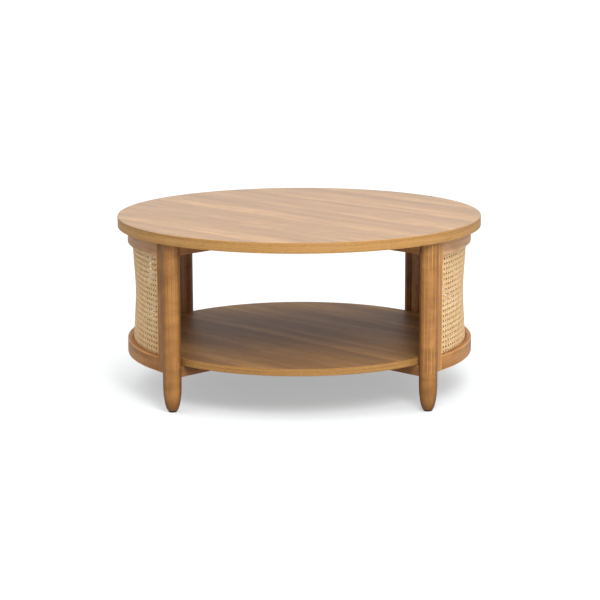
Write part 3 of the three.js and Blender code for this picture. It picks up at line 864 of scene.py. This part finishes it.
def over_and_under(place, parity):
    """Plain weave at the two crossings of each pair: out at one, in at the other, level between pairs."""
    cell = (place / WEAVE_PITCH + 0.5) % 1 - 0.5
    reach = 2.2 * PAIR_SPREAD / WEAVE_PITCH
    wave = np.where(np.abs(cell) < reach, np.sin(np.pi * cell / reach), 0.0)
    return parity * wave * STRAND_THICKNESS * 0.5


def diagonal_lift(place, sign):
    """A diagonal passes outside the level strands and inside the upright ones, or the other way round."""
    wave = np.cos(2 * np.pi * (place / WEAVE_PITCH - 0.5))
    return sign * wave * (1.5 - 0.5 * wave ** 2) * STRAND_THICKNESS


def samples_along(low, high):
    """Places along a strand, closer together where it crosses others."""
    stops = np.array([-0.5, -0.3, -0.138, 0.0, 0.138, 0.3]) * WEAVE_PITCH
    first = math.floor(low / WEAVE_PITCH) - 1
    last = math.ceil(high / WEAVE_PITCH) + 1
    places = np.concatenate([stops + number * WEAVE_PITCH for number in range(first, last + 1)])
    inside = places[(places > low + 0.3 * MM) & (places < high - 0.3 * MM)]
    return np.concatenate([[low], inside, [high]])


def pair_places(low, high):
    """(place, sign) of each strand of each pair between two limits."""
    found = []
    for number in range(math.floor(low / WEAVE_PITCH), math.ceil(high / WEAVE_PITCH) + 1):
        for sign in (-1, 1):
            place = number * WEAVE_PITCH + sign * PAIR_SPREAD
            if low + STRAND_WIDTH / 2 < place < high - STRAND_WIDTH / 2:
                found.append((place, sign))
    return found


def uprights(shift):
    heights = samples_along(CANE_LOW - CANE_MIDDLE, CANE_HIGH - CANE_MIDDLE)
    for place, sign in pair_places(-CANE_HALF_LENGTH - shift, CANE_HALF_LENGTH - shift):
        lift = over_and_under(heights, sign)
        yield strand(np.full(len(heights), place), heights + CANE_MIDDLE, lift, STRAND_WIDTH, shift)


def levels(shift):
    places = samples_along(-CANE_HALF_LENGTH - shift, CANE_HALF_LENGTH - shift)
    for height, sign in pair_places(CANE_LOW - CANE_MIDDLE, CANE_HIGH - CANE_MIDDLE):
        lift = over_and_under(places, -sign)
        yield strand(places, np.full(len(places), height + CANE_MIDDLE), lift, STRAND_WIDTH, shift)


def diagonals(slope, shift):
    """One family of diagonals, rising to the right for slope 1 and falling for slope -1."""
    low, high = CANE_LOW - CANE_MIDDLE, CANE_HIGH - CANE_MIDDLE
    most = CANE_HALF_LENGTH + max(abs(low), abs(high))
    reach = math.ceil(most / WEAVE_PITCH) + 1
    for number in range(-reach, reach):
        offset = (number + 0.5) * WEAVE_PITCH
        # along - slope * height is the same all along one diagonal.
        ends = sorted([offset + slope * low, offset + slope * high])
        start = max(ends[0], -CANE_HALF_LENGTH - shift)
        stop = min(ends[1], CANE_HALF_LENGTH - shift)
        if stop - start < WEAVE_PITCH / 2:
            continue
        steps = max(2, math.ceil((stop - start) / WEAVE_PITCH * 8))
        along = np.linspace(start, stop, steps + 1)
        height = (along - offset) * slope
        yield strand(along, height + CANE_MIDDLE, diagonal_lift(along, slope), DIAGONAL_WIDTH, shift)


strand_tones = random.Random(29)


def cane_piece(side, name, strands):
    """All strands of one direction of a panel, as one object of separate closed strands."""
    points, grains, tones, pith_and_shade_shares, faces = [], [], [], [], []
    start = 0
    count = len(STRAND_SECTION)
    for strand_points, strand_grain in strands:
        rings = len(strand_points)
        points.append(strand_points.reshape(-1, 3))
        shift = np.array([strand_tones.uniform(0, 9) for _ in range(3)])
        grains.append(strand_grain.reshape(-1, 3) + shift)
        tones.append(np.full(rings * count, strand_tones.random()))
        pith_and_shade_shares.append(STRAND_PITH_AND_SHADE * rings)
        for face in loft_faces(rings, count, closed=False):
            faces.append(tuple(start + corner for corner in face))
        start += rings * count
    places = turn_about_table(np.concatenate(points), SIDES[side])
    mesh = bpy.data.meshes.new(name)
    mesh.from_pydata(places.tolist(), [], faces)
    add_attribute(mesh, "tone", "FLOAT", np.concatenate(tones))
    add_attribute(mesh, "pith_and_shade", "FLOAT", np.concatenate(pith_and_shade_shares))
    add_attribute(mesh, "grain", "FLOAT_VECTOR", np.concatenate(grains))
    mesh.materials.append(materials["cane"])
    mesh.shade_smooth()
    mesh.set_sharp_from_angle(angle=math.radians(65))
    piece = bpy.data.objects.new(f"{side}_cane_{name}", mesh)
    bpy.context.scene.collection.objects.link(piece)
    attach(piece, "root")
    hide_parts(f"{side}_cane_panel")


def cane_panel(side):
    shift = WEAVE_SHIFT if side == "right" else -WEAVE_SHIFT
    cane_piece(side, "uprights", uprights(shift))
    cane_piece(side, "levels", levels(shift))
    cane_piece(side, "rising_diagonals", diagonals(1, shift))
    cane_piece(side, "falling_diagonals", diagonals(-1, shift))


# ---------------------------------------------------------------- kept CAD nodes


def keep(node, material, arris=0.0):
    """Keeps a CAD node, with its own material and, for a bar, eased arrises."""
    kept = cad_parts[node]
    kept.material_slots[0].material = materials[material]
    if arris > 0:
        weld = kept.modifiers.new("weld", "WELD")
        weld.merge_threshold = 0.001 * MM
        bevel = kept.modifiers.new("eased_arrises", "BEVEL")
        bevel.width = arris
        bevel.segments = 2
        bevel.limit_method = "ANGLE"
        bevel.angle_limit = math.radians(50)


def keep_hidden_pieces():
    for level in ("upper", "lower"):
        for run in ("front_left", "front_right"):
            keep(f"{level}_batten_{run}", f"batten_{run}", arris=ARRIS)
    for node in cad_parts:
        if node.endswith("_dowel"):
            keep(node, "dowel")
        elif "_screw_" in node:
            keep(node, "screw")
        elif node.endswith(("front_spline", "rear_spline")):
            keep(node, "upright_reed")
        elif node.endswith("_spline"):
            keep(node, "curved_reed")


# ---------------------------------------------------------------- the table


def build_table():
    board("table_top", TOP_RADIUS, TOP_UNDERSIDE, TOP_SURFACE, "top", screws_of("top"))
    board("shelf", SHELF_RADIUS, SHELF_UNDERSIDE, SHELF_SURFACE, "shelf", screws_of("shelf"))
    edge_band("table_top", TOP_RADIUS, TOP_UNDERSIDE, TOP_SURFACE)
    edge_band("shelf", SHELF_RADIUS, SHELF_UNDERSIDE, SHELF_SURFACE)
    for side, turn in SIDES.items():
        rail(side, "bottom", BOTTOM_RAIL_RADIUS, BOTTOM_RAIL_UNDERSIDE, BOTTOM_RAIL_TOP)
        rail(side, "top", TOP_RAIL_RADIUS, TOP_RAIL_UNDERSIDE, FRAME_TOP)
        for end, end_name in END_NAMES[side].items():
            corner = f"{end_name}_{side}"
            centre = polar(LEG_CIRCLE, turn + end * LEG_AZIMUTH)
            # The batten that starts at the front left leg ends at the rear right one.
            run = "front_left" if corner in ("front_left", "rear_right") else "front_right"
            leg(corner, centre, [f"upper_batten_{run}", f"lower_batten_{run}"])
            glide(corner, centre)
            stile(side, end)
        cane_panel(side)
    keep_hidden_pieces()


# ---------------------------------------------------------------- stage, light and camera


def pale_floor():
    """A white floor. It shows brighter to the camera than it lights the table, so that it stays white."""
    half = 60
    mesh = bpy.data.meshes.new("floor")
    corners = [(-half, -half, 0), (half, -half, 0), (half, half, 0), (-half, half, 0)]
    mesh.from_pydata(corners, [], [(0, 1, 2, 3)])
    shader = material_shader("floor_white")
    seen = shader.node("LightPath", {}).outputs["Is Camera Ray"]
    shader.surface(
        Base_Color=shader.mix(seen, (0.5, 0.5, 0.5, 1), (0.57, 0.584, 0.592, 1)),
        Roughness=1.0,
        Specular_IOR_Level=0.0,
        Emission_Color=(0.975, 1.0, 1.015, 1),
        Emission_Strength=shader.math("MULTIPLY", seen, 0.385),
    )
    mesh.materials.append(shader.owner)
    floor = bpy.data.objects.new("floor", mesh)
    bpy.context.scene.collection.objects.link(floor)


def aimed(name, light, place, target=(0, 0, 0.25)):
    """Puts a light in the scene, pointing at a target, and out of the camera's sight."""
    holder = bpy.data.objects.new(name, light)
    holder.location = place
    direction = Vector(place) - Vector(target)
    holder.rotation_euler = direction.to_track_quat("Z", "Y").to_euler()
    holder.visible_camera = False
    bpy.context.scene.collection.objects.link(holder)


def surroundings():
    """Plain studio walls: dim in front and behind, brighter at the sides and brightest overhead."""
    world = bpy.data.worlds.new("studio")
    shader = Shader(world)
    direction = shader.node("TexCoord", {}).outputs["Generated"]
    split = shader.node("SeparateXYZ", {0: direction})
    overhead = shader.spread(split.outputs[2], 0.2, 1.0, 0.05, 0.8)
    left = shader.spread(split.outputs[0], -1.0, -0.4, 0.78, 0.0)
    right = shader.spread(split.outputs[0], 0.4, 1.0, 0.0, 0.1)
    strength = shader.math("ADD", overhead, shader.math("ADD", left, right))
    background = shader.node("Background", {"Color": (1, 1, 1, 1), "Strength": strength})
    output = shader.node("OutputWorld", {})
    shader.tree.links.new(background.outputs[0], output.inputs["Surface"])
    bpy.context.scene.world = world


def studio_light():
    """A soft light high behind the table, and a soft box in front of it, a little to the right."""
    surroundings()
    overhead = bpy.data.lights.new("overhead", "SUN")
    overhead.energy = 2.5
    overhead.angle = math.radians(150)
    aimed("overhead", overhead, (0.42, 0.4, 1.0), target=(0, 0, 0))

    box = bpy.data.lights.new("soft_box", "AREA")
    box.shape = "RECTANGLE"
    box.size = 0.8
    box.size_y = 0.9
    box.energy = 31
    aimed("soft_box", box, (0.45, -2.0, 1.6))

    fill = bpy.data.lights.new("low_fill", "AREA")
    fill.shape = "RECTANGLE"
    fill.size = 0.6
    fill.size_y = 0.4
    fill.energy = 3.5
    aimed("low_fill", fill, (0.6, -1.7, 0.4), target=(-0.2, 0.2, 0.25))


def camera():
    """Looks along +Y from in front of the table, a little above its top."""
    lens_in_image_widths = 3.2056
    distance = 4.73
    height_over_top = 0.7243
    pitch = 0.1975
    roll = -0.0029
    orbit = -0.005  # how far the camera stands round the table from straight in front
    side_step = 0.0026
    half_pixel = 0.5 / 600
    view = bpy.data.cameras.new("camera")
    view.sensor_width = 36
    view.lens = view.sensor_width * lens_in_image_widths
    view.shift_x = -half_pixel
    view.shift_y = half_pixel
    holder = bpy.data.objects.new("camera", view)
    orbit_turn = Matrix.Rotation(orbit, 4, "Z")
    holder.location = orbit_turn @ Vector((side_step, -distance, TOP_SURFACE + height_over_top))
    tilt = Matrix.Rotation(math.pi / 2 - pitch, 4, "X") @ Matrix.Rotation(roll, 4, "Z")
    holder.rotation_euler = (orbit_turn @ tilt).to_euler()
    bpy.context.scene.collection.objects.link(holder)
    bpy.context.scene.camera = holder
    bpy.context.scene.view_settings.view_transform = "Standard"


build_table()
pale_floor()
studio_light()
camera()
